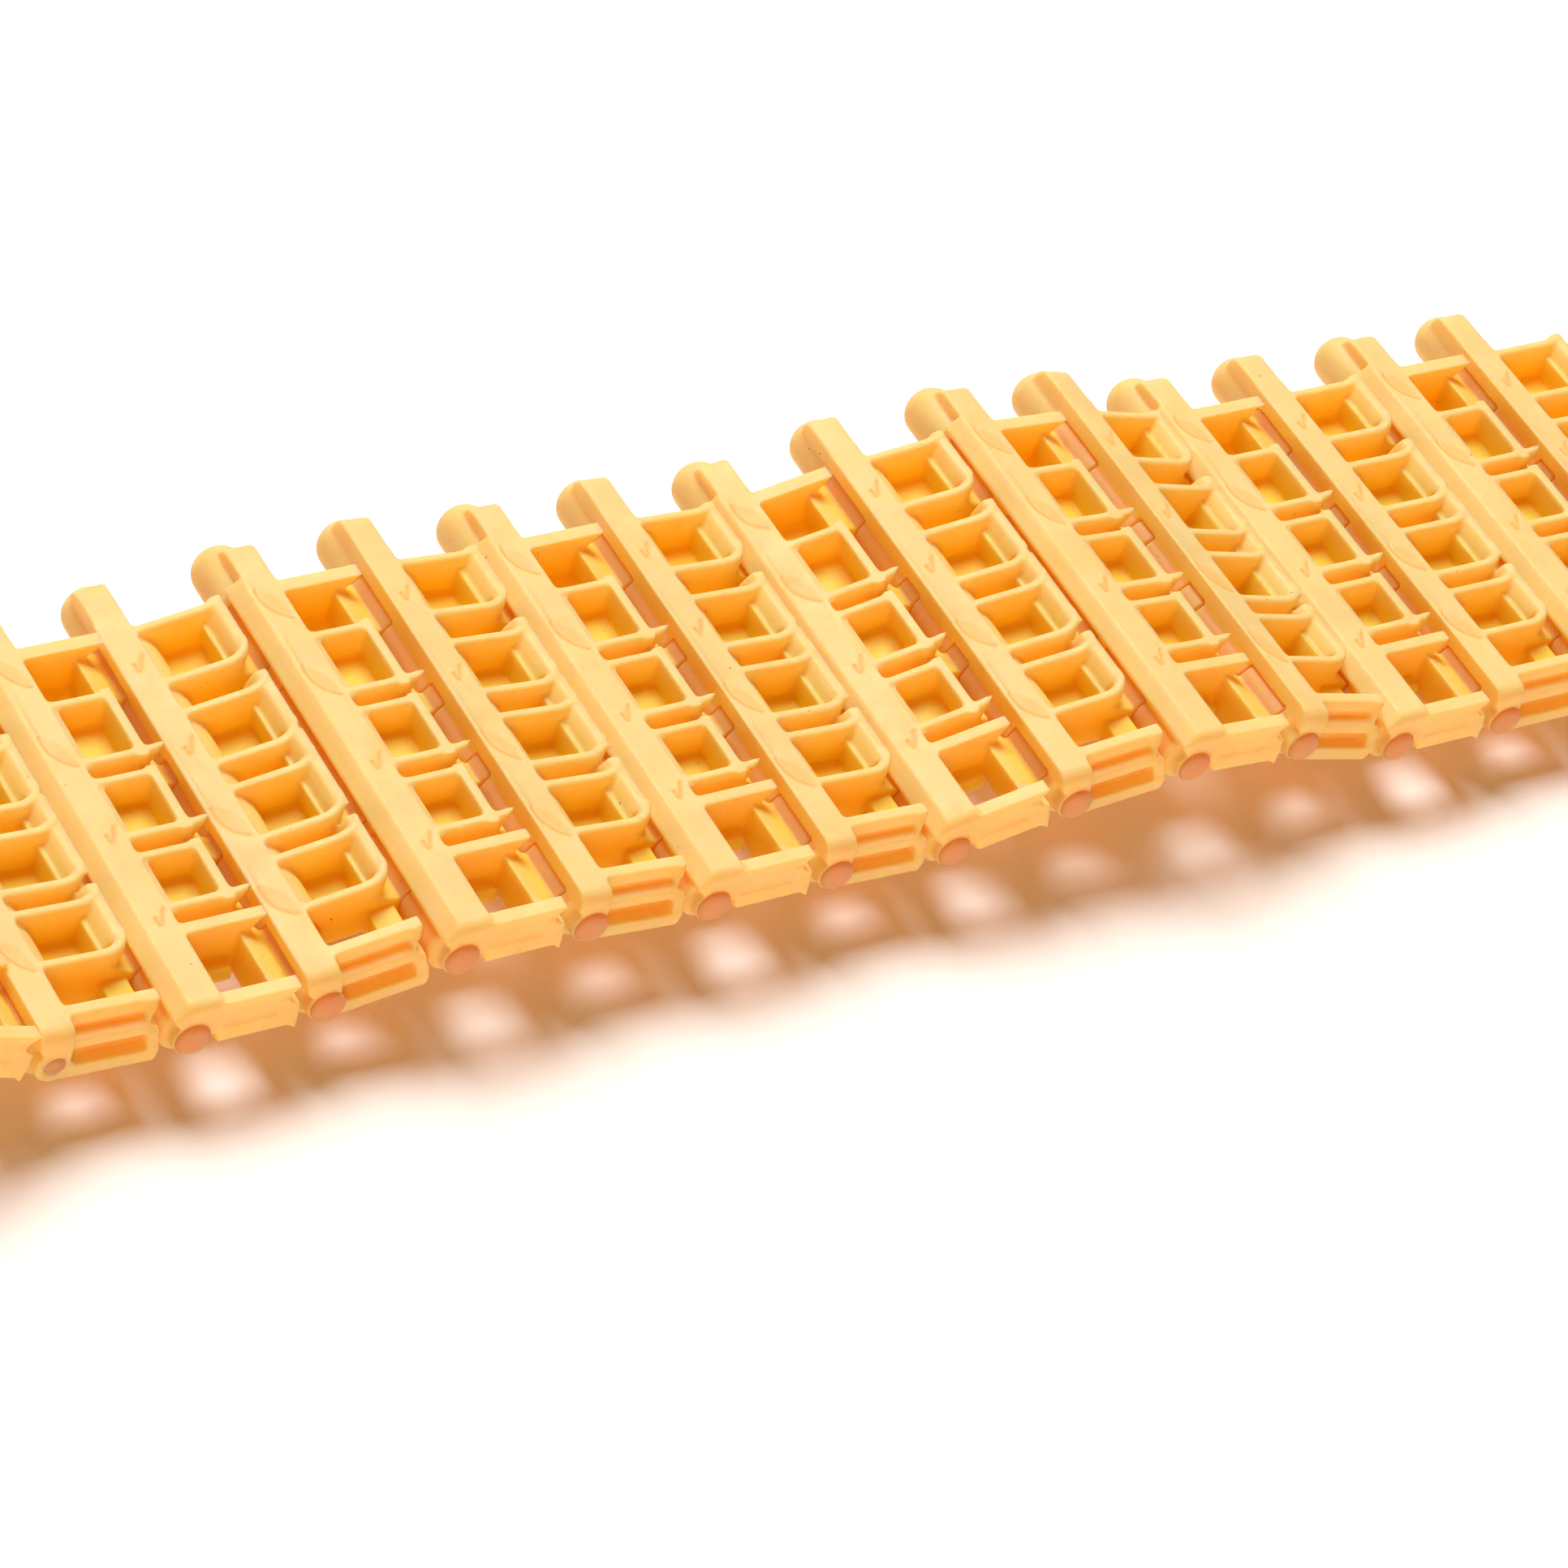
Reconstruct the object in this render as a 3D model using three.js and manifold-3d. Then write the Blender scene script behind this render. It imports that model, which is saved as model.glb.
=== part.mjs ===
// Hinged link belt: two alternating link types on cross pins, laid out on its guide horns.
// Millimetres. X runs along the belt, Y across it, Z up. The origin is on the surface that
// the belt stands on, under the middle of its length and overall width.
import * as THREE from 'three';
import { mergeVertices } from 'three/addons/utils/BufferGeometryUtils.js';
import Module from 'manifold-3d';

// Driving dimensions
const pitch = 4.3;              // hinge axis to hinge axis
const beltWidth = 14.8;         // near face to far face, without the end bosses
const ribTop = 1.3;             // flat tops of the cross ribs, above the hinge axis
const bodyDepth = 0.55;         // underside of the link bodies, below the hinge axis
const plateTop = -0.25;         // plates under the pockets
const boxFloor = 0.2;           // pocket floors of the box link
const scoopFloor = 0;           // and of the scoop link
const knuckleRadius = 0.88;
const pinRadius = 0.3;
const pinClearance = 0.04;      // radial, pin shaft to knuckle hole
const runningGap = 0.08;        // between turning faces
const flatTolerance = 0.003;    // faces within this of one plane are joined into one face
const bendLimit = 20;           // degrees each way at one hinge
const ribWideLeft = -0.25;      // rib of the box link
const ribWideRight = 0.86;
const ribNarrowLeft = -0.62;    // rib of the scoop link
const ribNarrowRight = 0.5;
const finWidth = 0.48;          // lengthwise fins
const barWidth = 0.5;           // side bars
const boxEndRoom = 1.42;        // end walls of the boxes to the right hinge axis
const boxWall = 0.45;
const pocketStrip = 0.2;        // ledge between the rib and a box pocket
const scoopWall = 0.34;
const joinDepth = 0.1;          // pieces of one link run into each other by this
const sideBarBottom = -0.35;    // underside of the near side bar
const flangeWidth = 0.5;        // low flange on the keeper fin
const flangeTop = -0.1;
const bridgeTop = 0.45;         // bridges that carry the first knuckle
const webFoot = 1.75;           // foot of a knuckle's web, left of the hinge axis
const combPlate = 0.28;
const pinHeadRadius = 0.56;
const pinHeadHeight = 0.24;
const bossLength = 1.9;         // straight part of the far end bosses
const bossDome = 0.75;          // rounded end of a boss
const hornHeight = 1.85;        // guide horns, below the body underside
const hornSpacing = 5.2;
const roundSegments = 8;        // hinge knuckles
const boreSegments = 8;         // pins and the bores they turn in
const arcStep = 22.5;           // degrees a facet, swept clearances

// Slope of each link from left to right, in degrees; the first link lies left of the first hinge.
const slopes = [-18, -3, 0, 9, 0.5, -5, 0.5, -3, 11.5, 6, -4, -15.5, 0, 0, 0, 0];
const blankHinge = 1;           // this link's pin has no head, only a slotted flush end

// Places across the belt
const nearFace = -beltWidth / 2;
const farFace = beltWidth / 2;
const combFace = nearFace + 1.08;    // inner face of the scoop link's near side comb
const keeperFin = nearFace + 2.71;   // fin between the boxes and the near opening
const boxEnd = pitch - boxEndRoom;
const swingRadius = Math.hypot(ribNarrowLeft, ribTop);   // reach of a rib's upper left corner

// A row of pockets fills what the rooms at its two ends leave, each a little wider than the last
function pocketRow({ count, nearRoom, farRoom, growth, gap, gapGrowth }) {
  const gaps = Array.from({ length: count - 1 }, (_, i) => gap + i * gapGrowth);
  const free = beltWidth - nearRoom - farRoom - gaps.reduce((sum, each) => sum + each, 0);
  const first = free / count - (growth * (count - 1)) / 2;
  const row = [];
  let y = nearFace + nearRoom;
  for (let i = 0; i < count; i += 1) {
    row.push([y, y + first + i * growth]);
    y = row[i][1] + (gaps[i] ?? 0);
  }
  return row;
}

const boxes = pocketRow({
  count: 3, nearRoom: 3.65, farRoom: 2.24, growth: 0.19, gap: 0.37, gapGrowth: 0,
});
const scoops = pocketRow({
  count: 4, nearRoom: 2.45, farRoom: 0, growth: 0.1, gap: 0.4, gapGrowth: 0.22,
});

// Knuckles at the right end of each link, and the ribs' own lugs between them
const boxKnuckles = [
  [nearFace + barWidth + 0.5, boxes[0][0] - 0.66],
  [boxes[0][1] - 0.25, boxes[1][0] + 0.3],
  [boxes[1][1] - 0.22, boxes[2][0] + 0.28],
  [boxes[2][1] + 0.1, farFace],
];
const scoopKnuckles = [
  [scoops[0][0], scoops[0][1] - 0.08],
  [scoops[1][0] + 0.08, scoops[2][1] - 0.08],
  [scoops[3][0] + 0.08, farFace],
];

const wasm = await Module();
wasm.setup();

function solid(geometry) {
  geometry.deleteAttribute('normal');
  geometry.deleteAttribute('uv');
  const merged = mergeVertices(geometry, 1e-4);
  const vertProperties = new Float32Array(merged.attributes.position.array);
  const triVerts = new Uint32Array(merged.index.array);
  return new wasm.Manifold(new wasm.Mesh({ numProp: 3, vertProperties, triVerts }));
}

function geometryOf(manifold) {
  const mesh = manifold.asOriginal().simplify(flatTolerance).getMesh();
  const geometry = new THREE.BufferGeometry();
  geometry.setAttribute('position', new THREE.BufferAttribute(mesh.vertProperties, 3));
  geometry.setIndex(new THREE.BufferAttribute(mesh.triVerts, 1));
  const flat = geometry.toNonIndexed();
  flat.computeVertexNormals();
  return flat;
}

function box(x0, x1, y0, y1, z0, z1) {
  const geometry = new THREE.BoxGeometry(x1 - x0, y1 - y0, z1 - z0);
  geometry.translate((x0 + x1) / 2, (y0 + y1) / 2, (z0 + z1) / 2);
  return solid(geometry);
}

// Cylinder about a cross axis at x
function rod(x, radius, y0, y1, segments = roundSegments) {
  const geometry = new THREE.CylinderGeometry(radius, radius, y1 - y0, segments);
  geometry.translate(x, (y0 + y1) / 2, 0);
  return solid(geometry);
}

// Outline in X and Z, carried across the belt from y0 to y1
function slab(points, y0, y1) {
  const shape = new THREE.Shape(points.map(([x, z]) => new THREE.Vector2(x, z)));
  const geometry = new THREE.ExtrudeGeometry(shape, { depth: y1 - y0, bevelEnabled: false });
  geometry.rotateX(Math.PI / 2);
  geometry.translate(0, y1, 0);
  return solid(geometry);
}

function union(pieces) {
  return pieces.reduce((sum, piece) => sum.add(piece));
}

function ray(degreesAboveLeft, length, x = 0) {
  const angle = THREE.MathUtils.degToRad(degreesAboveLeft);
  return [x - length * Math.cos(angle), length * Math.sin(angle)];
}

// Points on a circle about a cross axis at x, angles in degrees from +X towards +Z
function arc(x, radius, from, to, step = 360 / roundSegments) {
  const count = Math.max(1, Math.round(Math.abs(to - from) / step));
  return Array.from({ length: count + 1 }, (_, i) => {
    const angle = THREE.MathUtils.degToRad(from + ((to - from) * i) / count);
    return [x + radius * Math.cos(angle), radius * Math.sin(angle)];
  });
}

// Knuckle webs stay under one ray from the hinge axis, and the next rib's flank over another
const webAngle = 27;
const ribAngle = webAngle + bendLimit + 2;
const lugReach = knuckleRadius + runningGap;
const beyond = 3;               // cutting shapes run past the link by this

// Everything a link keeps clear of at its right end: the next link's lugs and rib corner
function swingSpace(x) {
  const outline = [
    [x - lugReach, -beyond],
    [x - lugReach, lugReach * Math.tan(THREE.MathUtils.degToRad(webAngle))],
    ...arc(x, swingRadius + runningGap, 180 - webAngle, 112, arcStep),
    [x - 0.3, beyond], [x + beyond, beyond], [x + beyond, -beyond],
  ];
  return slab(outline, nearFace - beyond, farFace + beyond);
}

// A knuckle at the right end with the web that carries it
function knuckle(x, [y0, y1]) {
  const outline = [
    ...arc(x, knuckleRadius, -90, 180 - webAngle), ray(webAngle, swingRadius + 0.5, x),
    [x - webFoot, -bodyDepth], [x - 0.8 * knuckleRadius, -bodyDepth],
  ];
  return slab(outline, y0, y1);
}

// Room in a rib for the knuckles of the link on its left
function knuckleSpace([y0, y1]) {
  const outline = [
    ...arc(0, lugReach / Math.cos(Math.PI / 8), -90, 180 - ribAngle, 45),
    ray(ribAngle, beyond), [-beyond, -beyond], [0, -beyond],
  ];
  return slab(outline, y0 - runningGap, y1 + runningGap);
}

// Cross rib over the left hinge, with its lugs, near eye and far boss
function rib(cap, left, right, neighbours) {
  const bottom = arc(0, knuckleRadius, 0, -(180 + ribAngle));
  let body = slab([[right, ribTop], [right, 0], ...bottom, ...cap, [left, ribTop]],
    nearFace, farFace + 0.4);
  neighbours.forEach((range) => { body = body.subtract(knuckleSpace(range)); });
  const bossStart = farFace + runningGap + 0.02;
  const shoulder = new THREE.Shape();
  shoulder.moveTo(bossStart, 0);
  shoulder.lineTo(bossStart, ribTop);
  shoulder.lineTo(bossStart + bossLength - 0.5, ribTop);
  shoulder.lineTo(bossStart + bossLength, 0.75 * ribTop);
  shoulder.lineTo(bossStart + bossLength, 0);
  const shelf = new THREE.ExtrudeGeometry(shoulder, { depth: right - left, bevelEnabled: false });
  shelf.rotateX(Math.PI / 2);
  shelf.rotateZ(Math.PI / 2);
  shelf.translate(right, 0, 0);
  const profile = [[0, 0], [1, 0], [1, bossLength], [0.75, bossLength + 0.7 * bossDome],
    [0, bossLength + bossDome]];
  const boss = new THREE.LatheGeometry(
    profile.map(([r, y]) => new THREE.Vector2(r * knuckleRadius, y)), roundSegments);
  boss.translate(0, bossStart, 0);
  return union([body, solid(shelf), solid(boss)]);
}

// Lengthwise block with a pocket sunk from the top
function pocket(block, x0, x1, [y0, y1]) {
  return block.subtract(box(x0, x1, y0 + finWidth, y1 - finWidth, boxFloor, beyond));
}

function drillHinges(body) {
  const hole = pinRadius + pinClearance;
  return body.subtract(rod(0, hole, nearFace - beyond, farFace + bossLength, boreSegments))
    .subtract(rod(pitch, hole, nearFace - beyond, farFace + beyond, boreSegments));
}

function boxLink() {
  const left = ribWideLeft;
  const right = ribWideRight;
  const start = right - joinDepth;
  const cap = [ray(ribAngle, knuckleRadius + 0.27)];
  let body = union([
    box(start, boxEnd - joinDepth, keeperFin, farFace, -bodyDepth, plateTop),
    box(start, pitch, nearFace, nearFace + barWidth, sideBarBottom, ribTop),
    box(start, pitch, keeperFin, keeperFin + finWidth, -bodyDepth, ribTop),
    box(right + joinDepth, pitch - webFoot - 0.3, keeperFin - flangeWidth, keeperFin + joinDepth,
      -bodyDepth, flangeTop),
    box(start, pitch, farFace - barWidth, farFace, -bodyDepth, ribTop),
    box(pitch - webFoot - 0.2, pitch - knuckleRadius, nearFace + joinDepth, keeperFin + joinDepth,
      -bodyDepth, bridgeTop),
  ]);
  boxes.forEach(([y0, y1]) => {
    body = body.add(pocket(box(start, boxEnd, y0, y1, -bodyDepth, ribTop),
      right + pocketStrip, boxEnd - boxWall, [y0, y1]));
    body = body.add(box(boxEnd - joinDepth, pitch, y0, y0 + finWidth, -bodyDepth, ribTop));
  });
  scoopKnuckles.forEach((range) => { body = body.subtract(knuckleSpace(range)); });
  body = body.subtract(swingSpace(pitch));
  const ends = boxKnuckles.map((range) => knuckle(pitch, range));
  const horns = [-0.5, 0.5].map((side) => guideHorn(pitch / 2 - 0.1, side * hornSpacing + 0.3));
  const top = rib(cap, left, right, scoopKnuckles);
  return drillHinges(union([top, body, ...ends, ...horns]));
}

// Tapered four sided horn under the belt
function guideHorn(x, y) {
  const geometry = new THREE.CylinderGeometry(1, 0.5, hornHeight + 0.2, 4);
  geometry.rotateY(Math.PI / 4);
  geometry.rotateX(Math.PI / 2);
  geometry.scale(1.15, 0.75, 1);
  geometry.translate(x, y, -bodyDepth - hornHeight / 2 + 0.1);
  return solid(geometry);
}

function scoopLink() {
  const left = ribNarrowLeft;
  const right = ribNarrowRight;
  const start = right - joinDepth;
  const cap = [[left, -left * Math.tan(THREE.MathUtils.degToRad(ribAngle))]];
  const combInner = combFace - joinDepth;
  const postStart = pitch - knuckleRadius - 0.62;
  let body = union([
    box(right + pocketStrip, pitch - swingRadius, scoops[0][0], farFace, -bodyDepth, plateTop),
    box(start, pitch, combFace - combPlate, combFace, -bodyDepth, ribTop),
    box(postStart, pitch, nearFace + 0.06, combInner, -0.75, 1.1),
    box(pitch - webFoot - 0.15, pitch - knuckleRadius, combFace - combPlate, scoops[0][0] + joinDepth,
      -bodyDepth, bridgeTop - 0.15),
  ]);
  // Three bars step outwards and down from the comb plate: outer face, underside, top
  [[combFace - 0.6, 0.95, ribTop], [nearFace + 0.12, 0.28, 0.6], [nearFace, -0.75, -0.2]]
    .forEach(([outer, low, high]) => {
      body = body.add(box(start, postStart + joinDepth, outer, combInner, low, high));
    });
  scoops.forEach(([y0, y1]) => {
    body = body.add(box(start, pitch, y0, y1, -bodyDepth, ribTop));
  });
  body = body.add(box(pitch - webFoot - 0.2, pitch, scoops[1][0], scoops[2][1], -bodyDepth, ribTop));
  // The scoop floors curve up into end walls that follow the next rib's sweep
  const hollowEnd = rod(pitch, swingRadius + runningGap + scoopWall, nearFace, farFace, 16);
  scoops.forEach(([y0, y1]) => {
    const hollow = box(right, pitch, y0 + finWidth, y1 - finWidth, scoopFloor, beyond);
    body = body.subtract(hollow.subtract(hollowEnd));
  });
  boxKnuckles.forEach((range) => { body = body.subtract(knuckleSpace(range)); });
  body = body.subtract(swingSpace(pitch));
  const ends = scoopKnuckles.map((range) => knuckle(pitch, range));
  const top = rib(cap, left, right, boxKnuckles);
  return drillHinges(union([top, body, ...ends]));
}

// Cross pin: shaft in the hinge, low domed head against the near face
function pin(headed) {
  const profile = [];
  if (headed) {
    profile.push(new THREE.Vector2(0, -pinHeadHeight));
    profile.push(new THREE.Vector2(0.55 * pinHeadRadius, -0.9 * pinHeadHeight));
    profile.push(new THREE.Vector2(0.9 * pinHeadRadius, -0.6 * pinHeadHeight));
    profile.push(new THREE.Vector2(pinHeadRadius, -0.25 * pinHeadHeight));
    profile.push(new THREE.Vector2(pinHeadRadius, -0.02));
  } else {
    profile.push(new THREE.Vector2(0, -0.02));
  }
  profile.push(new THREE.Vector2(pinRadius, -0.02));
  profile.push(new THREE.Vector2(pinRadius, beltWidth + bossLength - 0.3));
  profile.push(new THREE.Vector2(0, beltWidth + bossLength - 0.3));
  const geometry = new THREE.LatheGeometry(profile, boreSegments);
  geometry.translate(0, nearFace, 0);
  return geometry;
}

function linkMaterial() {
  return new THREE.MeshStandardMaterial({ color: 0xfbd98a, roughness: 0.42, metalness: 0 });
}

function pinMaterial() {
  return new THREE.MeshStandardMaterial({ color: 0xf79a5e, roughness: 0.45, metalness: 0 });
}

// Each link is turned by its slope at the hinge where the one before it ends
const belt = new THREE.Group();
const boxGeometry = geometryOf(boxLink());
const scoopGeometry = geometryOf(scoopLink());
const hinge = new THREE.Vector3();
slopes.forEach((degrees, i) => {
  const isBox = i % 2 === 0;
  const number = Math.floor(i / 2) + 1;
  const angle = THREE.MathUtils.degToRad(degrees);
  const place = new THREE.Group();
  place.position.copy(hinge);
  place.rotation.y = -angle;
  hinge.add(new THREE.Vector3(Math.cos(angle), 0, Math.sin(angle)).multiplyScalar(pitch));
  const link = new THREE.Mesh(isBox ? boxGeometry : scoopGeometry, linkMaterial());
  link.name = `${isBox ? 'box' : 'scoop'}_link_${number}`;
  const cross = new THREE.Mesh(pin(i !== blankHinge), pinMaterial());
  cross.name = `${isBox ? 'box' : 'scoop'}_pin_${number}`;
  place.add(link, cross);
  belt.add(place);
});

// The lowest horn tips stand on the surface
const bounds = new THREE.Box3().setFromObject(belt, true);
const middle = bounds.getCenter(new THREE.Vector3()).setZ(bounds.min.z);
belt.children.forEach((place) => { place.position.sub(middle); });

export default belt;
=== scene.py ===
import bpy, math
import numpy as np
from mathutils import Matrix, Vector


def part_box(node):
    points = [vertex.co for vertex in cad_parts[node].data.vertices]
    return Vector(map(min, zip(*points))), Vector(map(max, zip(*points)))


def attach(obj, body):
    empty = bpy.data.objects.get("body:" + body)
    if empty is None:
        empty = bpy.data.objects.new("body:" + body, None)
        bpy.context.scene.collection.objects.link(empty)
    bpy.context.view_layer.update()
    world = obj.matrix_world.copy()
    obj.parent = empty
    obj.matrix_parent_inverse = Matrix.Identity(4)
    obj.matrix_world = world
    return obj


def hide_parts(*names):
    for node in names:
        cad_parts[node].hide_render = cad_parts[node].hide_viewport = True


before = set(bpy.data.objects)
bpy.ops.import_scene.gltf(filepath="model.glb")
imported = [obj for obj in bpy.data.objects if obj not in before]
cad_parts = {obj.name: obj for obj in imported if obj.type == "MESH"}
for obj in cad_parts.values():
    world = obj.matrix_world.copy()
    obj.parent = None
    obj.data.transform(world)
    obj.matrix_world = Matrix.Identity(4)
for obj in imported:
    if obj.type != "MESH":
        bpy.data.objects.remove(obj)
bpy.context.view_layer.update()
print("frame loaded,", len(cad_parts), "nodes")

mm = 0.001

# sizes that both link types share, in millimetres and in a link's own frame:
# x from its left hinge axis, y across the belt from its middle, z above the hinge axis
belt = {
    "width": 14.8, "ribTop": 1.3, "bodyDepth": 0.55, "knuckle": 0.88, "gap": 0.08, "slit": 0.045,
    "swing": 1.52, "webAngle": 27, "ribAngle": 49, "bore": 0.34, "eye": 0.62, "headHeight": 0.24,
    "fin": 0.48, "bar": 0.5, "boss": 1.9, "bossDome": 0.75, "plateTop": -0.25,
    "voxel": 0.05, "smoothing": 9, "facesKept": 88000, "markDepth": 0.04,
    "overlap": 0.1,     # parts of one link run into each other by this
    "webFoot": 1.8,     # foot of a knuckle's web, back from the hinge axis
}
nearFace = -belt["width"] / 2
farFace = belt["width"] / 2
reach = belt["knuckle"] + belt["gap"]
top = belt["ribTop"]
depth = belt["bodyDepth"]
fin = belt["fin"]
lap = belt["overlap"]
beyond = 3      # cutting shapes run past the link by this


def pinAxis(name):
    # middle of the pin's box, which is round about its axis
    low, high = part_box(name)
    return np.array([(low[0] + high[0]) / 2, (low[2] + high[2]) / 2])


linkNames = sorted([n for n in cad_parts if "_link_" in n], key=lambda n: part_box(n)[0][0])
pinNames = [n.replace("_link_", "_pin_") for n in linkNames]
axes = [pinAxis(n) for n in pinNames]
pitch = float(np.linalg.norm(axes[1] - axes[0])) / mm
slopes = [math.atan2(*(axes[i + 1] - axes[i])[::-1]) for i in range(len(axes) - 1)]
slopes.append(slopes[-1])       # the last link lies in line with the one before it
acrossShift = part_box(pinNames[0])[0][1] / mm + belt["headHeight"] - nearFace
print("pitch", round(pitch, 3), "mm,", len(linkNames), "links")


def arc(cx, radius, start, stop, count, cz=0.0):
    # points at (cx, cz) + radius * (cos a, sin a), a in degrees from +x towards +z
    a = np.radians(np.linspace(start, stop, count))
    return np.stack([cx + radius * np.cos(a), cz + radius * np.sin(a)], 1)


def loft(rings):
    # point (i, j) of station i is joined to its neighbours round the ring and along the
    # path, and the two end rings are closed
    stations, count = rings.shape[:2]
    grid = np.arange(stations * count).reshape(stations, count)
    ahead = np.roll(grid, -1, axis=1)
    sides = np.stack([grid[:-1], ahead[:-1], ahead[1:], grid[1:]], -1).reshape(-1, 4)
    points = rings.reshape(-1, 3)
    faces = sides.tolist() + [grid[0][::-1].tolist(), grid[-1].tolist()]
    a, b, c = points[sides[:, 0]], points[sides[:, 1]], points[sides[:, 2]]
    middle = points.mean(0)
    outward = np.einsum("ij,ij->", np.cross(b - a, c - a), a - middle)
    return points, faces if outward > 0 else [f[::-1] for f in faces]


def carried(axis, outline, start, stop):
    # an outline in the other two directions, carried along one axis from start to stop
    outline = np.asarray(outline, float)
    return loft(np.stack([np.insert(outline, axis, at, axis=1) for at in (start, stop)]))


def block(x0, x1, y0, y1, z0, z1):
    return carried(1, [(x0, z0), (x1, z0), (x1, z1), (x0, z1)], y0, y1)


def turned(profile, cx=0.0, count=48):
    # a profile of (radius, y) turned once about the cross axis at cx:
    # (cx + r cos a, y, r sin a) for a round the circle
    r, y = np.asarray(profile, float).T[:, :, None]
    a = np.linspace(0, 2 * math.pi, count, endpoint=False)[None]
    return loft(np.stack([cx + r * np.cos(a), y + 0 * a, r * np.sin(a)], -1))


def ribbon(path, half, z0, z1):
    # both sides of a plan path, at half a width along its normals; the half width falls on the
    # way up from z0, and faster over the last tenth of a millimetre to the crest at z1
    path = np.asarray(path, float)
    along = np.gradient(path, axis=0)
    normal = np.stack([-along[:, 1], along[:, 0]], 1) / np.linalg.norm(along, axis=1)[:, None]
    half = np.broadcast_to(np.asarray(half, float), len(path))[:, None]
    rings = []
    for share, z in ((1.1, z0), (0.8, z1 - 0.12), (0.45, z1)):      # foot, shoulder, crest
        side = normal * half * share
        rings.append(np.insert(np.concatenate([path + side, (path - side)[::-1]]), 2, z, axis=1))
    return loft(np.stack(rings))


def joined(parts):
    points, faces, start = [], [], 0
    for p, f in parts:
        points.append(p)
        faces += [[k + start for k in face] for face in f]
        start += len(p)
    return np.concatenate(points), faces


def makeObject(name, points, faces):
    mesh = bpy.data.meshes.new(name)
    mesh.from_pydata(points.tolist(), [], faces)
    mesh.update()
    obj = bpy.data.objects.new(name, mesh)
    bpy.context.scene.collection.objects.link(obj)
    return obj


def fastMesh(name, points, tris):
    mesh = bpy.data.meshes.new(name)
    mesh.vertices.add(len(points))
    mesh.vertices.foreach_set("co", points.ravel())
    mesh.loops.add(len(tris) * 3)
    mesh.loops.foreach_set("vertex_index", tris.ravel())
    mesh.polygons.add(len(tris))
    mesh.polygons.foreach_set("loop_start", np.arange(0, len(tris) * 3, 3))
    mesh.polygons.foreach_set("use_smooth", np.ones(len(tris), bool))
    mesh.update(calc_edges=True)
    return mesh


def finished(obj):
    # the object's mesh with its modifiers, as point and triangle arrays; the object goes
    graph = bpy.context.evaluated_depsgraph_get()
    done = obj.evaluated_get(graph)
    mesh = done.to_mesh()
    mesh.calc_loop_triangles()
    points = np.empty(len(mesh.vertices) * 3)
    mesh.vertices.foreach_get("co", points)
    tris = np.empty(len(mesh.loop_triangles) * 3, int)
    mesh.loop_triangles.foreach_get("vertices", tris)
    done.to_mesh_clear()
    bpy.data.objects.remove(obj)
    return points.reshape(-1, 3), tris.reshape(-1, 3)


def remeshed(obj):
    union = obj.modifiers.new("union", "REMESH")
    union.mode = "VOXEL"
    union.voxel_size = belt["voxel"] * 1


def cutBy(obj, part):
    cutter = makeObject("cutter", *part)
    cut = obj.modifiers.new("cut", "BOOLEAN")
    cut.operation = "DIFFERENCE"
    cut.object = cutter
    cut.solver = "MANIFOLD"
    return cutter


def swingSpace():
    # everything a link keeps clear of at its right end: the next link's lugs and rib corner
    web = 180 - belt["webAngle"]
    low = reach * math.tan(math.radians(belt["webAngle"]))
    corner = 180 - math.degrees(math.asin(top / belt["swing"]))
    outline = np.concatenate([
        [(pitch - reach, -beyond), (pitch - reach, low)],
        arc(pitch, belt["swing"], web, corner - 4, 16),
        [(pitch - 0.3, beyond), (pitch + beyond, beyond), (pitch + beyond, -beyond)]])
    return carried(1, outline, nearFace - 1, farFace + 1)


def knuckleSpace(span):
    # room at the left hinge for one knuckle of the link before, and its web
    outline = np.concatenate([
        arc(0, reach, -90, 180 - belt["ribAngle"], 24),
        arc(0, beyond, 180 - belt["ribAngle"], 180, 1), [(0, -beyond)]])
    return carried(1, outline, span[0] - belt["slit"], span[1] + belt["slit"])


def knuckle(span):
    # round knuckle at the right hinge with the web that carries it
    web = 180 - belt["webAngle"]
    outline = np.concatenate([
        arc(pitch, belt["knuckle"], -90, web, 30), arc(pitch, belt["swing"] + 0.42, web, web, 1),
        [(pitch - belt["webFoot"], -depth), (pitch - 0.68, -depth)]])
    return carried(1, outline, *span)


def ribOutline(shape, height, radius):
    # round under the pin, up the left flank, and over the flat top to the right flank
    return np.concatenate([
        arc(0, radius, 0, -(180 + belt["ribAngle"]), 36), shape["cap"],
        [(shape["left"] + 0.02, height), (shape["right"] - 0.02, height), (shape["right"], 0.0)]])


def rib(shape):
    # one outline carried across the belt. The near end rolls over in a quarter round,
    # y = near face + roll (1 - cos a) and height = top - roll (1 - sin a), on a small eye
    roll = shape["roll"]
    a = np.radians(np.linspace(0, 90, 9))
    stations = [(nearFace + roll * (1 - math.cos(t)), top - roll * (1 - math.sin(t)), belt["eye"])
                for t in a]
    stations += [(nearFace + roll + 0.12, top, belt["knuckle"]),
                 (farFace + 0.4, top, belt["knuckle"])]
    return loft(np.stack([np.insert(ribOutline(shape, height, radius), 1, y, axis=1)
                          for y, height, radius in stations]))


def farBoss(shape):
    # a round boss about the pin axis with a domed end, and the rib's top running out over it
    k, start, length = belt["knuckle"], farFace + belt["gap"] + 0.02, belt["boss"]
    t = np.linspace(0, 1.5, 12)
    dome = np.stack([k * np.cos(t), start + length + belt["bossDome"] * np.sin(t)], 1)
    body = turned(np.concatenate([[(k, start)], dome]))
    end, curve = start + length + shape["shelf"], 0.5
    shelf = np.concatenate([
        [(start, 0), (end, 0)], arc(end - curve, curve, 0, 90, 10, top - 0.52), [(start, top)]])
    return [body, carried(0, shelf, shape["left"] + 0.04, shape["right"] - 0.04)]


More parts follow.
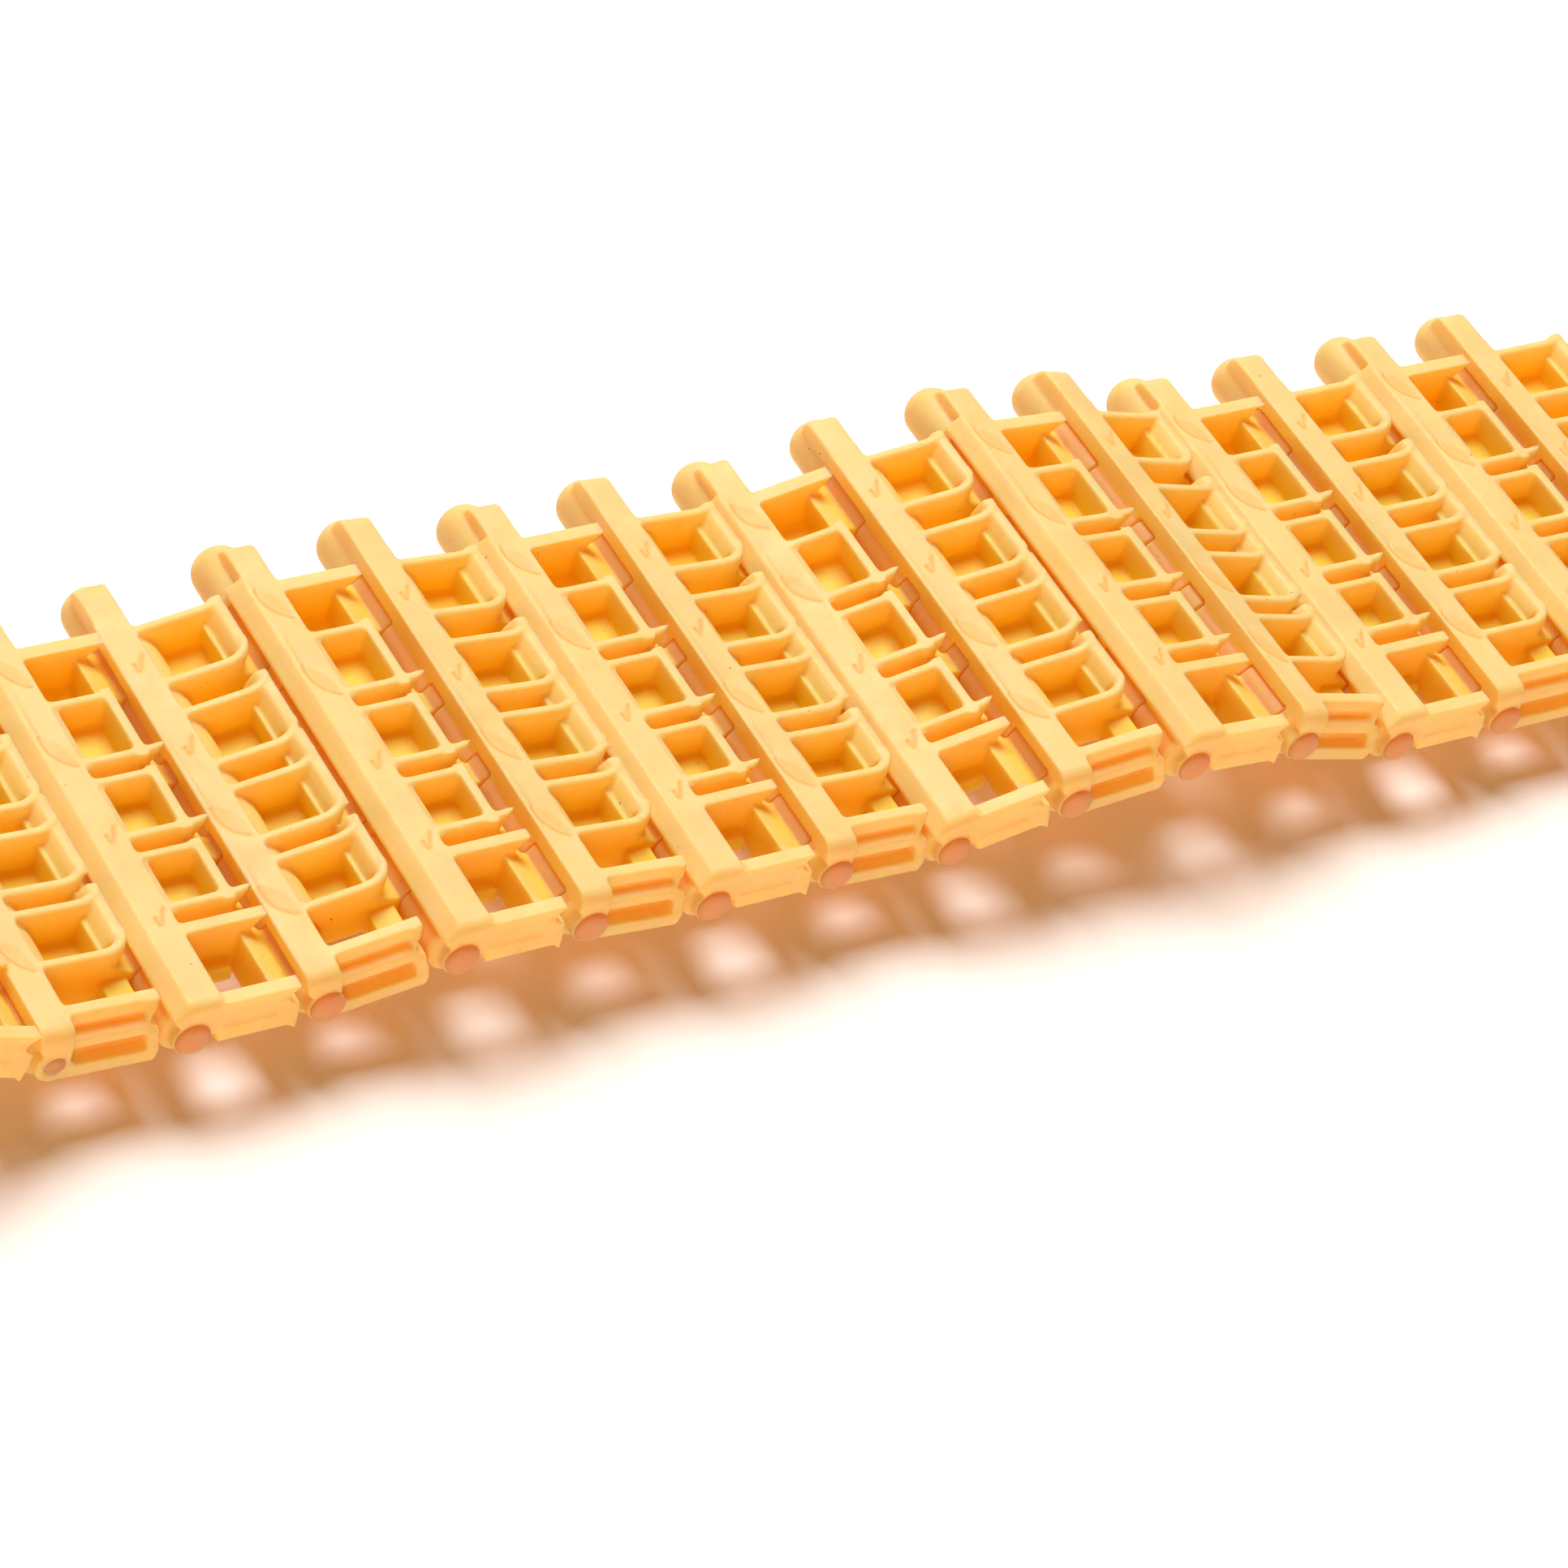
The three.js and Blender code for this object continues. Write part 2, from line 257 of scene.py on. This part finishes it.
def pocketRow(count, nearRoom, farRoom, growth, gap, gapGrowth):
    # spans that fill what the rooms at the two ends leave, each a little wider than the last
    gaps = gap + gapGrowth * np.arange(count)
    free = belt["width"] - nearRoom - farRoom - gaps[:-1].sum()
    sizes = free / count + growth * (np.arange(count) - (count - 1) / 2)
    starts = nearFace + nearRoom + np.concatenate([[0], np.cumsum(sizes + gaps)[:-1]])
    return [(float(y), float(y + size)) for y, size in zip(starts, sizes)]


# box link: three square pockets beside a wide rib, with an open tooth hole near the side bar.
# "back" is measured from the right hinge, "out" from the near face
boxLink = {
    "left": -0.25, "right": 0.86, "cap": arc(0, 1.15, 131, 131, 1), "roll": 0.3, "shelf": -0.05,
    "end": pitch - 1.42, "wall": 0.36, "strip": 0.16, "floor": 0.2,
    "row": (3, 3.65, 2.24, 0.19, 0.37, 0),      # as pocketRow takes them
    "finEnd": 0.68, "finTurn": 0.16, "finThins": 0.1,
    "bar": {"back": 0.5, "low": -0.3, "high": belt["ribTop"] - 0.15},
    "foot": {"back": 1.2, "out": 0.07, "low": -0.36, "high": 0.2},
    "pad": {"start": 1.62, "back": 0.98, "out": 0.05, "low": 0.1, "high": 0.75},
    "eye": {"radius": 0.4, "back": 0.86, "out": 0.1, "z": -0.14},
    "keeper": 2.71, "keeperEnd": 0.8, "flange": 0.55, "flangeEnd": 0.55, "flangeTop": -0.05,
    "slope": [(1.8, -belt["bodyDepth"]), (0.8, -belt["bodyDepth"]), (0.8, 0.4), (1.73, 0.88)],
    "hornFoot": (0.813, 0.53), "hornSpacing": 5.2, "hornHeight": 1.85, "hornPlace": (-0.1, 0.3),
    "marks": [("vee", 0.3, -4.2), ("vee", 0.3, -0.8), ("leaf", 0.3, 3.1), ("leaf", 0.3, 6.5)],
}

# scoop link: four pockets whose ends curve up to a thin lip, beside a narrower rib
scoopLink = {
    "left": -0.62, "right": 0.5, "cap": np.array([[-0.62, 0.713]]), "roll": 0.42, "shelf": 0.15,
    "wall": 0.24, "lip": 0.03, "wallFoot": 2.3, "floor": 0.0, "plateTop": -0.1,
    "row": (4, 2.45, 0, 0.1, 0.4, 0.22),
    "bend": 2.42, "hookEnd": 3.36, "nearRise": 0.85, "farRise": 0.62, "hookThins": 0.07,
    "marks": [("leaf", -0.06, -4.2), ("leaf", -0.06, -0.9), ("vee", -0.06, 1.9), ("vee", -0.06, 5.5)],
}

# its near side comb: a leaning plate with three bars across it and a leaning end post, each
# from x to x with its outline in (out from the near face, z)
combFace = 1.08
combStart = scoopLink["right"] - lap
comb = {
    "plate": (combStart, pitch - 1.15, [
        (combFace, top), (0.86, top), (0.6, 0.3), (0.4, -0.6), (0.8, -0.62), (combFace, -depth)]),
    "topBar": (combStart, pitch - 0.95, [(combFace, top), (combFace, 0.9), (0.58, 0.9), (0.66, top)]),
    "midBar": (combStart, pitch - 1.25, [(0.6, 0.72), (0.6, 0.3), (0.22, 0.3), (0.24, 0.66)]),
    "lowBar": (combStart - lap, pitch - 1.05, [
        (0.4, -0.1), (0.6, -0.62), (0.05, -0.66), (-0.04, -0.1)]),
    "post": (pitch - 1.42, pitch - 1.08, [
        (1.03, top), (0.63, top), (0.1, 0.45), (0.02, -0.2), (0.3, -0.6), (0.88, 0.3)]),
    "hook": (pitch - 1.25, pitch - 1.0, [(0.02, -0.5), (0.34, -0.5), (0.34, 0.12), (0.02, 0.12)]),
}

boxSpans = pocketRow(*boxLink["row"])
scoopSpans = pocketRow(*scoopLink["row"])
boxKnuckles = [
    (nearFace + belt["bar"] + 0.5, boxSpans[0][0] - 0.66),
    (boxSpans[0][1] - 0.25, boxSpans[1][0] + 0.3),
    (boxSpans[1][1] - 0.22, boxSpans[2][0] + 0.28),
    (boxSpans[2][1] + 0.1, farFace),
]
scoopKnuckles = [
    (scoopSpans[0][0], scoopSpans[0][1] - 0.08),
    (scoopSpans[1][0] + 0.08, scoopSpans[2][1] - 0.08),
    (scoopSpans[3][0] + 0.08, farFace),
]


def horn(x, y):
    # four sided taper under the belt: its half sizes fall in a straight line to the tip
    corners = np.array([(-1, -1), (1, -1), (1, 1), (-1, 1)]) * boxLink["hornFoot"]
    rings = [np.insert(corners * share + (x, y), 2, z, axis=1)
             for share, z in ((1.0, 0.2 - depth), (0.5, -depth - boxLink["hornHeight"]))]
    return loft(np.stack(rings))


def boxBody():
    b, right = boxLink, boxLink["right"]
    start, end = right - lap, b["end"]
    nearBar, keeper = nearFace + belt["bar"], nearFace + b["keeper"]
    bar, foot, pad, eye = b["bar"], b["foot"], b["pad"], b["eye"]
    parts = [rib(b), block(reach - lap, end - lap, boxSpans[0][0] - 1, farFace, -depth, belt["plateTop"])]
    # side bars; the near one stands on a flange and ends in a low rough pad beside the eye
    parts.append(block(start, pitch - bar["back"], nearFace, nearBar, bar["low"], bar["high"]))
    parts.append(block(right - lap / 2, pitch - foot["back"], nearFace - foot["out"], nearBar,
                       foot["low"], foot["high"]))
    parts.append(block(pitch - pad["start"], pitch - pad["back"], nearFace - pad["out"], nearBar,
                       pad["low"], pad["high"]))
    parts.append(carried(1, arc(pitch - eye["back"], eye["radius"], 0, 345, 24, eye["z"]),
                         nearFace - eye["out"], nearBar))
    parts.append(block(start, pitch, farFace - belt["bar"], farFace, -depth, top))
    # keeper fin with its lower flange, and the bridge that closes the tooth hole on the right
    parts.append(block(start, pitch - b["keeperEnd"], keeper, keeper + fin, -depth, top))
    parts.append(block(reach - lap, end - b["flangeEnd"], keeper - b["flange"], keeper + lap,
                       -depth, b["flangeTop"]))
    parts.append(carried(1, [(pitch - back, z) for back, z in b["slope"]], nearFace + lap, keeper + lap))
    for y0, y1 in boxSpans:
        parts.append(block(start, end, y0, y1, -depth, b["floor"]))
        parts.append(block(start, right + b["strip"], y0, y1, b["floor"], top - lap))
        parts.append(ribbon([(start, y1 - fin / 2), (end, y1 - fin / 2)], fin / 2, -depth, top))
        parts.append(block(end - b["wall"], end, y0, y1, -depth, top))
        # the near fin runs on past the end wall and turns a little as it thins out
        t = np.linspace(0, 1, 14)
        x = start + t * (pitch - b["finEnd"] - start)
        path = np.stack([x, y0 + fin / 2 + b["finTurn"] * t ** 6], 1)
        parts.append(ribbon(path, fin / 2 - b["finThins"] * t ** 8, -depth, top))
    return parts


def scoopBody():
    s, start = scoopLink, scoopLink["right"] - lap
    first = scoopSpans[0][0]
    bowl = np.concatenate([arc(0, reach - lap, -25, 62, 12), arc(0, reach + 0.25, 62, -25, 12)])
    parts = [rib(s), block(reach - lap, pitch - 1.2, first, farFace, -depth, s["plateTop"]),
             block(reach - lap, pitch - 1.9, first, farFace, -depth, s["floor"]),
             carried(1, bowl, first, farFace)]
    # end wall: between the next rib's sweep and a circle round the same axis, down to the floor
    inner, lip = belt["swing"] + s["wall"], top - s["lip"]
    high = 180 - math.degrees(math.asin(lip / inner))
    wall = np.concatenate([
        arc(pitch, inner, high, 180, 18), [(pitch - s["wallFoot"], s["floor"])],
        [(pitch - s["wallFoot"], -depth), (pitch - 1.2, -depth), (pitch - 0.7, 0.8), (pitch - 0.7, lip)]])
    for y0, y1 in scoopSpans:
        farRise = min(s["farRise"], farFace + 0.3 - y1)
        parts.append(carried(1, wall, y0 + 0.7, y1 + farRise - fin / 2 + 0.05))
        for y, lift in ((y0 + fin / 2, s["nearRise"]), (y1 - fin / 2, farRise)):
            # straight, then a quarter of an ellipse: x = bend + run sin a, y = y + rise (1 - cos a)
            a = np.radians(np.linspace(0, 86, 16))
            run = s["hookEnd"] - s["bend"]
            hook = np.stack([s["bend"] + run * np.sin(a), y + lift * (1 - np.cos(a))], 1)
            path = np.concatenate([[(start, y), ((s["right"] + s["bend"]) / 2, y)], hook])
            half = np.concatenate([[fin / 2, fin / 2], fin / 2 - s["hookThins"] * (a / a[-1]) ** 2])
            parts.append(ribbon(path, half, s["floor"] - 0.2, top))
    parts.append(carried(1, wall, scoopSpans[1][0] + 0.4, scoopSpans[2][0] + 0.5))
    for x0, x1, outline in comb.values():
        parts.append(carried(0, [(nearFace + out, z) for out, z in outline], x0, x1))
    parts.append(block(pitch - 1.9, pitch - 1, nearFace + combFace - 0.2, first + lap, -depth, 0.3))
    return parts


def oneMark(kind, x, y):
    # a leaf is filled between two arcs that meet in points, and darkest along one of them; a vee is two
    # straight strokes.
    # Each line is a smooth bump, exp(-(distance / width)^2). As colour, the darker lines are painted
    # shade along the groove over the mark's own tone
    if kind == "leaf":
        u = (0.42 * x - 0.91 * y) / 0.8
        v = 0.91 * x + 0.42 * y
        bow = 0.26 * (1 - u ** 2)
        fill = 0.45 / (1 + np.exp(-np.clip((bow - np.abs(v)) / 0.03, -40, 40)))
        return np.where(np.abs(u) < 1, np.maximum(fill, np.exp(-((v + bow) / 0.08) ** 2)), 0.0)
    left = np.where((y > 0) & (y < 0.42), np.exp(-((x + 0.12 * y) / 0.08) ** 2), 0.0)
    right = np.where((y > 0) & (y < 0.7), np.exp(-((x - 0.5 * y) / 0.09) ** 2), 0.0)
    return np.maximum(left, 0.8 * right)


def markAt(shape, points):
    # how far each point lies in a mark, 0 to 1, on the rib's flat top only
    x, y, z = points.T
    onTop = np.clip((z - top + 0.16) / 0.1, 0, 1)
    marks = [oneMark(kind, x - cx, y - cy) for kind, cx, cy in shape["marks"]]
    return np.max(marks, axis=0) * onTop


def linkShape(name, shape, body, others, own, extra):
    print("shaping", name)
    rough = makeObject(name + "Rough", *joined(body))
    remeshed(rough)
    cutters = [cutBy(rough, part) for part in [swingSpace()] + [knuckleSpace(span) for span in others]]
    points, tris = finished(rough)
    parts = [(points, tris.tolist())] + farBoss(shape) + [knuckle(span) for span in own] + extra
    soft = makeObject(name + "Soft", *joined(parts))
    remeshed(soft)
    soften = soft.modifiers.new("soften", "SMOOTH")
    soften.factor = 0.5
    soften.iterations = belt["smoothing"]
    for x, stop in ((0, farFace + belt["boss"]), (pitch, farFace + 1)):
        cutters.append(cutBy(soft, turned([(belt["bore"], nearFace - 1), (belt["bore"], stop)], x)))
    points, tris = finished(soft)
    for cutter in cutters:
        bpy.data.objects.remove(cutter)
    print("  rough", len(tris), "triangles")
    points[:, 2] -= belt["markDepth"] * markAt(shape, points)
    if len(tris) > belt["facesKept"]:
        fine = bpy.data.objects.new(name + "Fine", fastMesh(name + "Fine", points, tris))
        bpy.context.scene.collection.objects.link(fine)
        thin = fine.modifiers.new("thin", "DECIMATE")
        thin.ratio = belt["facesKept"] / len(tris)
        points, tris = finished(fine)
    print("  kept", len(tris), "triangles")
    return points, tris


def placed(points, i):
    # turn a link's own x and z by its slope, move it to its left hinge, and go to metres
    c, s = math.cos(slopes[i]), math.sin(slopes[i])
    x, y, z = (points + (0, acrossShift, 0)).T * mm
    return np.stack([axes[i][0] + x * c - z * s, y, axes[i][1] + x * s + z * c], 1)


def addValues(mesh, name, values):
    mesh.attributes.new(name, "FLOAT", "POINT").data.foreach_set("value", values.astype(np.float32))


# the two resins: colour, how far each colour of light spreads, and the tint of the light
# that comes through a wall, once for each face that it crosses
resins = {
    "cream": {"base": (0.985, 0.86, 0.39), "deep": (0.96, 0.52, 0.07), "barrel": (0.97, 0.6, 0.26),
              # painted shade: a deeper orange painted into the pockets, stronger further down, for the
              # light that bounces round inside them
              "sunk": (1.0, 0.8, 0.07),
              "spread": (1.0, 0.32, 0.05), "through": (0.3, 0.09, 0.035), "glow": (1.0, 0.62, 0.03)},
    "salmon": {"base": (1.0, 0.52, 0.26), "deep": (0.93, 0.4, 0.16), "barrel": (1.0, 0.52, 0.26),
               "sunk": (1.0, 0.52, 0.26),
               "spread": (1.0, 0.4, 0.2), "through": (0.3, 0.09, 0.035), "glow": (1.0, 0.46, 0.2)},
}


def resinMaterial(name, r):
    mat = bpy.data.materials.new(name + "Resin")
    mat.use_nodes = True
    nodes, links = mat.node_tree.nodes, mat.node_tree.links
    shader = nodes["Principled BSDF"]
    place = nodes.new("ShaderNodeTexCoord").outputs["Object"]

    def noise(scale, detail):
        node = nodes.new("ShaderNodeTexNoise")
        node.inputs["Scale"].default_value = scale
        node.inputs["Detail"].default_value = detail
        links.new(place, node.inputs["Vector"])
        return node.outputs["Fac"]

    def value(name):
        node = nodes.new("ShaderNodeAttribute")
        node.attribute_name = name
        return node.outputs["Fac"]

    def ranged(source, low, high, start=0.0, stop=1.0):
        node = nodes.new("ShaderNodeMapRange")
        for socket, number in zip(("From Min", "From Max", "To Min", "To Max"), (low, high, start, stop)):
            node.inputs[socket].default_value = number
        links.new(source, node.inputs["Value"])
        return node.outputs["Result"]

    def mixedColour(factor, a, b):
        node = nodes.new("ShaderNodeMix")
        node.data_type = "RGBA"
        links.new(factor, node.inputs["Factor"])
        for socket, colour in ((node.inputs[6], a), (node.inputs[7], b)):
            if isinstance(colour, tuple):
                socket.default_value = (*colour, 1)
            else:
                links.new(colour, socket)
        return node.outputs[2]

    mottle = mixedColour(ranged(noise(700, 3), 0.35, 0.75, 0.0, 0.22), r["base"], r["deep"])
    # marks on the rib tops: partly their own deeper tone, partly painted shade along their grooves
    markedAndShaded = mixedColour(ranged(value("markAndGrooveShade"), 0, 1, 0, 0.7), mottle, r["deep"])
    # painted shade: the pockets take a deeper orange the further down they go
    withPocketShade = mixedColour(value("sunk"), markedAndShaded, r["sunk"])
    turnedColour = mixedColour(value("barrel"), withPocketShade, r["barrel"])
    speck = ranged(noise(5200, 1), 0.80, 0.84)
    links.new(mixedColour(speck, turnedColour, (0.12, 0.05, 0.02)), shader.inputs["Base Color"])

    # fine grain everywhere, and level lines a little under a tenth of a millimetre apart
    grain = nodes.new("ShaderNodeBump")
    grain.inputs["Strength"].default_value = 0.35
    grain.inputs["Distance"].default_value = 0.00002
    links.new(noise(9000, 4), grain.inputs["Height"])
    wave = nodes.new("ShaderNodeTexWave")
    wave.wave_type = "BANDS"
    wave.bands_direction = "Z"
    wave.inputs["Scale"].default_value = 1900
    wave.inputs["Distortion"].default_value = 1.5
    wave.inputs["Detail"].default_value = 2
    links.new(place, wave.inputs["Vector"])
    lines = nodes.new("ShaderNodeBump")
    lines.inputs["Strength"].default_value = 0.2
    lines.inputs["Distance"].default_value = 0.00001
    links.new(wave.outputs["Fac"], lines.inputs["Height"])
    links.new(grain.outputs["Normal"], lines.inputs["Normal"])
    links.new(lines.outputs["Normal"], shader.inputs["Normal"])
    links.new(ranged(noise(1500, 2), 0.3, 0.7, 0.46, 0.62), shader.inputs["Roughness"])
    shader.inputs["IOR"].default_value = 1.5
    shader.inputs["Subsurface Weight"].default_value = 1.0
    shader.inputs["Subsurface Radius"].default_value = r["spread"]
    shader.inputs["Subsurface Scale"].default_value = 0.0008

    # walls glow with the light behind them, and a lamp's light comes on through, tinted
    behind = nodes.new("ShaderNodeBsdfTranslucent")
    behind.inputs["Color"].default_value = (*r["glow"], 1)
    body = nodes.new("ShaderNodeMixShader")
    body.inputs[0].default_value = 0.33
    links.new(shader.outputs[0], body.inputs[1])
    links.new(behind.outputs[0], body.inputs[2])
    through = nodes.new("ShaderNodeBsdfTransparent")
    through.inputs["Color"].default_value = (*r["through"], 1)
    rays = nodes.new("ShaderNodeLightPath")
    mixer = nodes.new("ShaderNodeMixShader")
    links.new(rays.outputs["Is Shadow Ray"], mixer.inputs[0])
    links.new(body.outputs[0], mixer.inputs[1])
    links.new(through.outputs[0], mixer.inputs[2])
    links.new(mixer.outputs[0], nodes["Material Output"].inputs["Surface"])
    return mat


linkResin = resinMaterial("cream", resins["cream"])
pinResin = resinMaterial("salmon", resins["salmon"])

hornX, hornY = boxLink["hornPlace"]     # their middle, from the middle of the link
horns = [horn(pitch / 2 + hornX, side * boxLink["hornSpacing"] + hornY) for side in (-0.5, 0.5)]
shapes = {
    "box": (boxLink, *linkShape("boxLink", boxLink, boxBody(), scoopKnuckles, boxKnuckles, horns)),
    "scoop": (scoopLink, *linkShape("scoopLink", scoopLink, scoopBody(), boxKnuckles, scoopKnuckles, [])),
}
for i, node in enumerate(linkNames):
    shape, points, tris = shapes[node.split("_")[0]]
    mesh = fastMesh(node + "Shape", placed(points, i), tris)
    link = bpy.data.objects.new(node.replace("_link_", "Link"), mesh)
    bpy.context.scene.collection.objects.link(link)
    link.data.materials.append(linkResin)
    x, y, z = points.T
    # mark tone with painted groove shade, read by the material
    addValues(mesh, "markAndGrooveShade", markAt(shape, points))
    away = np.minimum(np.hypot(x, z), np.hypot(x - pitch, z))
    inside = (y > nearFace + 0.6) & (y < farFace + 0.05)
    addValues(mesh, "barrel", np.clip((belt["knuckle"] + 0.06 - away) / 0.05, 0, 1) * inside)
    # painted shade: pocket walls and floors get a deeper orange the lower they lie, kept off the
    # underside
    inPocket = (y > nearFace + 0.9) & (y < farFace - 0.05)
    above = np.clip((z + depth - 0.05) / 0.1, 0, 1)     # the underside stays pale
    addValues(mesh, "sunk", np.clip((top - 0.08 - z) / 0.9, 0, 1) * inPocket * above)
    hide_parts(node)
    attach(link, node)
print("links placed")

# pins: a low domed head, its rim rounded, and a plain shaft
pinShape = {"head": 0.56, "shaft": 0.3, "length": belt["width"] + belt["boss"] - 0.3}


def pinProfile(headed):
    # (radius, y) from the crown outwards: y = -height (0.55 + 0.45 (1 - k^2)) + 0.1 k^10 for k
    # from the middle to the rim, then along the shaft
    p, height = pinShape, belt["headHeight"]
    if headed:
        k = np.linspace(0.04, 1, 18)
        crown = np.stack([p["head"] * k, -height * (0.55 + 0.45 * (1 - k ** 2)) + 0.1 * k ** 10], 1)
        crown = np.concatenate([crown, [(p["head"], -0.02)]])
    else:
        crown = np.array([(0.02, -0.02)])
    shaft = [(p["shaft"], -0.02), (p["shaft"], p["length"] - 0.05), (p["shaft"] - 0.05, p["length"]),
             (0.02, p["length"])]
    return np.concatenate([crown, shaft]) + [0, nearFace]


for i, node in enumerate(pinNames):
    low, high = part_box(node)
    headed = (high[0] - low[0]) > 2.5 * pinShape["shaft"] * mm
    points, faces = turned(pinProfile(headed), count=56)
    pin = makeObject(node.replace("_pin_", "Pin"), placed(points, i), faces)
    pin.data.shade_smooth()
    pin.data.materials.append(pinResin)
    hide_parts(node)
    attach(pin, node.replace("_pin_", "_link_"))
print("pins placed")

# floor, lights and camera
floorMat = bpy.data.materials.new("paleFloor")
floorMat.use_nodes = True
floorShader = floorMat.node_tree.nodes["Principled BSDF"]
floorShader.inputs["Base Color"].default_value = (0.97, 0.97, 0.96, 1)
floorShader.inputs["Roughness"].default_value = 0.9
floorShader.inputs["Specular IOR Level"].default_value = 0.1
half = 2.0      # metres
corners = np.array([(-half, -half, 0), (half, -half, 0), (half, half, 0), (-half, half, 0)])
floor = makeObject("floor", corners, [[0, 1, 2, 3]])
floor.data.materials.append(floorMat)


def facing(azimuth, elevation):
    # unit vectors right, up and back for something that looks at the belt from there:
    # azimuth from -Y towards +X, elevation above the floor
    a, e = math.radians(azimuth), math.radians(elevation)
    back = np.array([math.sin(a) * math.cos(e), -math.cos(a) * math.cos(e), math.sin(e)])
    right = np.array([math.cos(a), math.sin(a), 0])
    return right, np.cross(back, right), back


def stood(obj, right, up, back, place):
    turn = np.eye(4)
    turn[:3, 0], turn[:3, 1], turn[:3, 2], turn[:3, 3] = right, up, back, place
    obj.matrix_world = Matrix(turn.tolist())
    bpy.context.scene.collection.objects.link(obj)


lights = {      # azimuth, elevation, distance in metres, size in metres, watts, colour
    "keyLight": (168, 60, 1.0, 0.6, 12.6, (1, 1, 1)),
    "fillLight": (-25, 20, 1.0, 0.6, 5.2, (1, 0.62, 0.27)),
}
for name, (azimuth, elevation, distance, size, power, colour) in lights.items():
    light = bpy.data.lights.new(name, "AREA")
    light.shape = "DISK"
    light.size = size
    light.energy = power
    light.color = colour
    right, up, back = facing(azimuth, elevation)
    stood(bpy.data.objects.new(name, light), right, up, back, back * distance)

world = bpy.data.worlds.new("studio")
bpy.context.scene.world = world
world.use_nodes = True
world.node_tree.nodes["Background"].inputs["Color"].default_value = (1, 0.56, 0.24, 1)
world.node_tree.nodes["Background"].inputs["Strength"].default_value = 0.1
bpy.context.scene.view_settings.view_transform = "Standard"

# the camera looks down across the belt from its near left, rolled so that the belt climbs the
# frame; distance and target are in pitches from the second hinge
view = {
    "azimuth": -41.3, "elevation": 42.78, "roll": 17.76, "lens": 134.246,
    "distance": 39.676, "ahead": 5.199, "above": 1.231,
}
lens = bpy.data.cameras.new("camera")
lens.lens = view["lens"]
lens.clip_start = 0.005
right, up, back = facing(view["azimuth"], view["elevation"])
roll = math.radians(view["roll"])
right, up = math.cos(roll) * right + math.sin(roll) * up, math.cos(roll) * up - math.sin(roll) * right
target = np.array([axes[1][0] + view["ahead"] * pitch * mm, (nearFace - 0.3 + acrossShift) * mm,
                   axes[1][1] + view["above"] * pitch * mm])
camera = bpy.data.objects.new("camera", lens)
stood(camera, right, up, back, target + back * view["distance"] * pitch * mm)
bpy.context.scene.camera = camera
